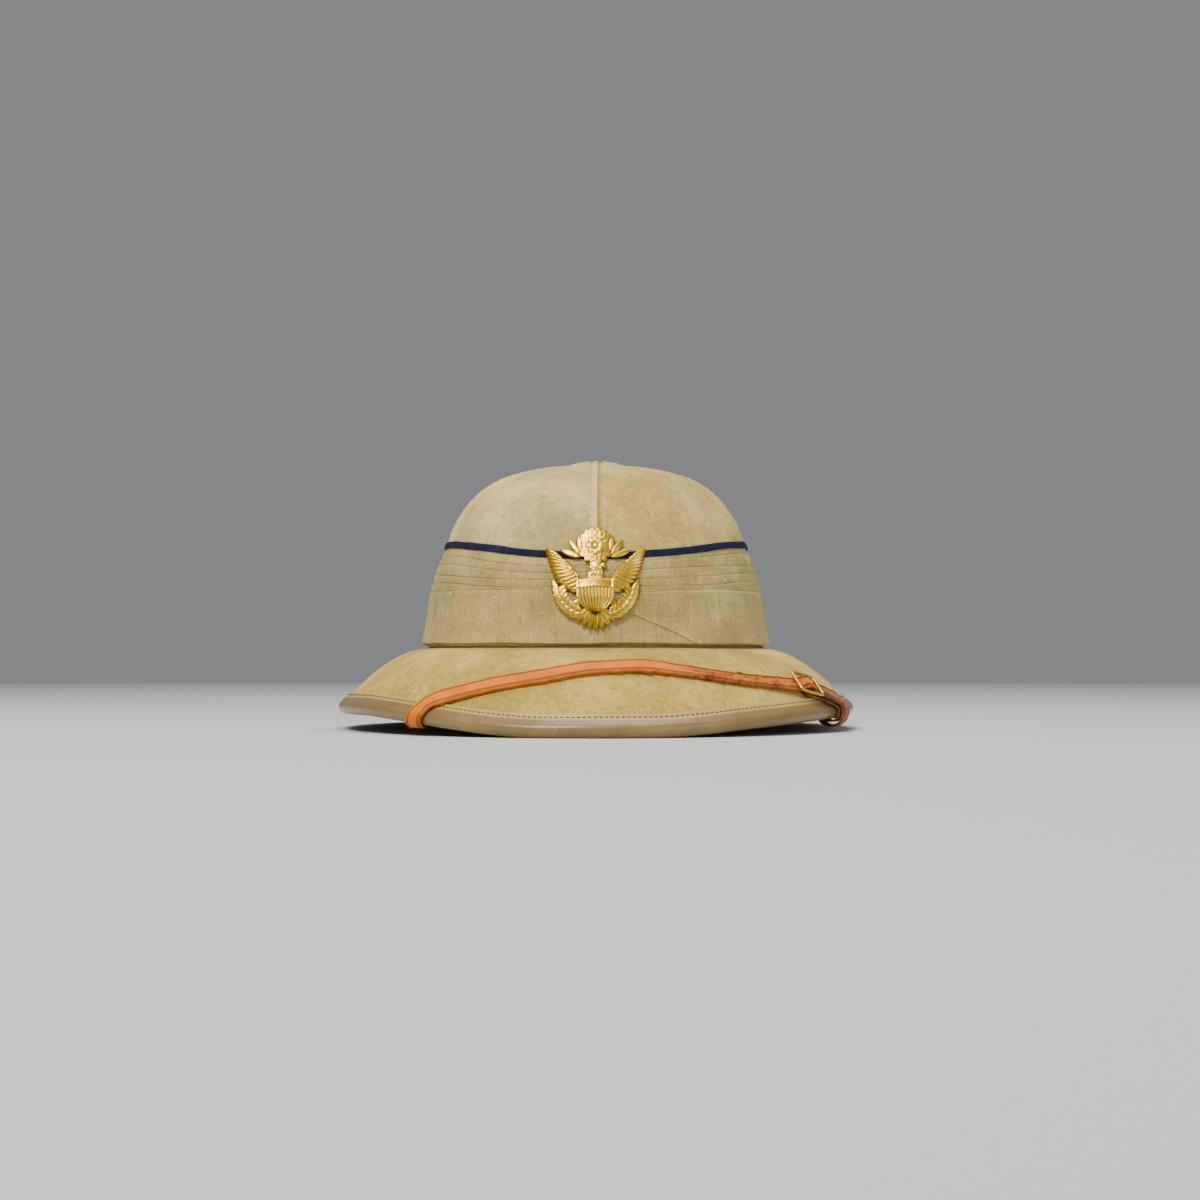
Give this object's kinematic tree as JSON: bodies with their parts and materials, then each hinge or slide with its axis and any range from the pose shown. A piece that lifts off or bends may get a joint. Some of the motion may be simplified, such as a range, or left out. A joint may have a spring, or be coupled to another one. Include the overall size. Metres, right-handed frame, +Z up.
{
  "type": "pith helmet",
  "caption": "Cloth-covered pith helmet with a domed crown, a pleated band, a sloping bound brim, a leather chin strap and a gilt badge.",
  "frame": {"origin": "centre of the overall box at the level of the surface that the brim rests on", "axes": "-Y is the front of the helmet with the badge, +X is the wearer's left (the right of the front view), +Z is up"},
  "size_m": [0.28, 0.334, 0.1467],
  "materials": {
    "moulded_pith": "moulded pith, matt",
    "crown_cloth": "brushed khaki cotton drill",
    "band_cloth": "fine khaki cotton, pleated",
    "navy_ribbon": "navy cotton",
    "binding_oilcloth": "smooth olive-tan binding, satin",
    "tan_leather": "orange-tan strap leather, worn",
    "worn_leather": "darker strap leather, worn",
    "brass": "aged brass",
    "gilt": "gilt casting"
  },
  "bodies": {
    "root": {"shell": "moulded_pith", "crown_panel_front_left": "crown_cloth", "crown_panel_front_right": "crown_cloth", "crown_panel_back_left": "crown_cloth", "crown_panel_back_right": "crown_cloth", "seam_front_back": "crown_cloth", "seam_side_left": "crown_cloth", "seam_side_right": "crown_cloth", "brim_cover": "crown_cloth", "ribbon": "navy_ribbon", "pleated_band": "band_cloth", "band_fold": "band_cloth", "band_end": "band_cloth", "edge_binding": "binding_oilcloth", "chin_strap": "tan_leather", "buckle_strap": "worn_leather", "buckle": "brass", "strap_rivet_left": "brass", "strap_rivet_right": "brass", "badge": "gilt"}
  },
  "joints": []
}
